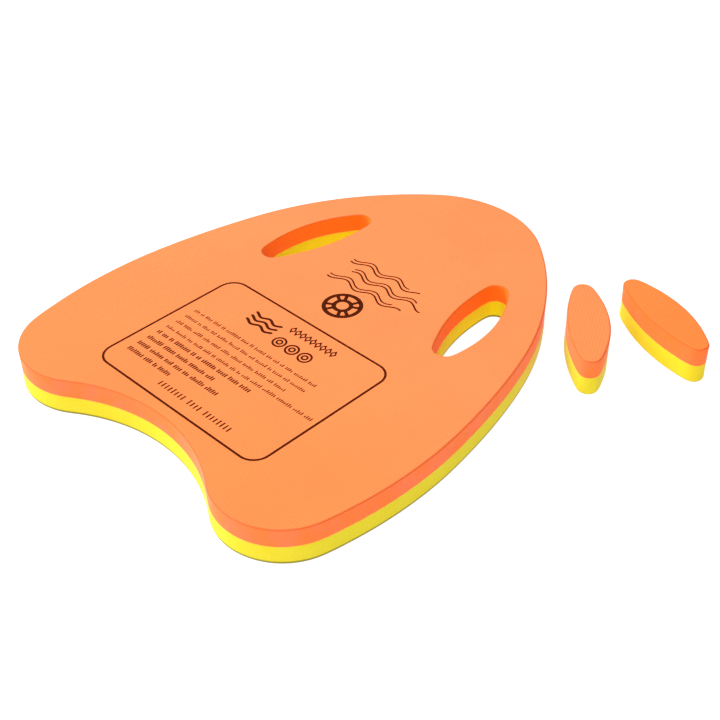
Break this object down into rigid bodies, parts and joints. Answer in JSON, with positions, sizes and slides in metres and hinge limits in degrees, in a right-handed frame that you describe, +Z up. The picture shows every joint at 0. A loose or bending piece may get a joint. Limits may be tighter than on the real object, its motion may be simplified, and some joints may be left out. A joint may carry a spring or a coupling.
{
  "type": "kickboard float",
  "caption": "Flat two-layer foam kickboard with a rounded nose, a notched tail with rounded lobes and slanted hand holes, its cut-out plugs lying beside it.",
  "frame": {"origin": "on the floor, under the middle of the board's length and width", "axes": "+X to the board's right side, +Y to its rounded nose, +Z up out of the orange face"},
  "size_m": [0.359, 0.3654, 0.028],
  "materials": {
    "orange_foam": "matte",
    "yellow_foam": "matte",
    "bond_film": "satin"
  },
  "bodies": {
    "board": {"board_top_layer": "orange_foam", "board_bond_film": "bond_film", "board_bottom_layer": "yellow_foam"},
    "near_plug": {"near_plug_top_layer": "orange_foam", "near_plug_bond_film": "bond_film", "near_plug_bottom_layer": "yellow_foam"},
    "far_plug": {"far_plug_top_layer": "orange_foam", "far_plug_bond_film": "bond_film", "far_plug_bottom_layer": "yellow_foam"}
  },
  "joints": [
    {"name": "near_plug_lift", "type": "slide", "parent": "board", "child": "near_plug", "axis": [0, 0, 1], "range_m": [0, 0.045]},
    {"name": "far_plug_lift", "type": "slide", "parent": "board", "child": "far_plug", "axis": [0, 0, 1], "range_m": [0, 0.045]}
  ]
}
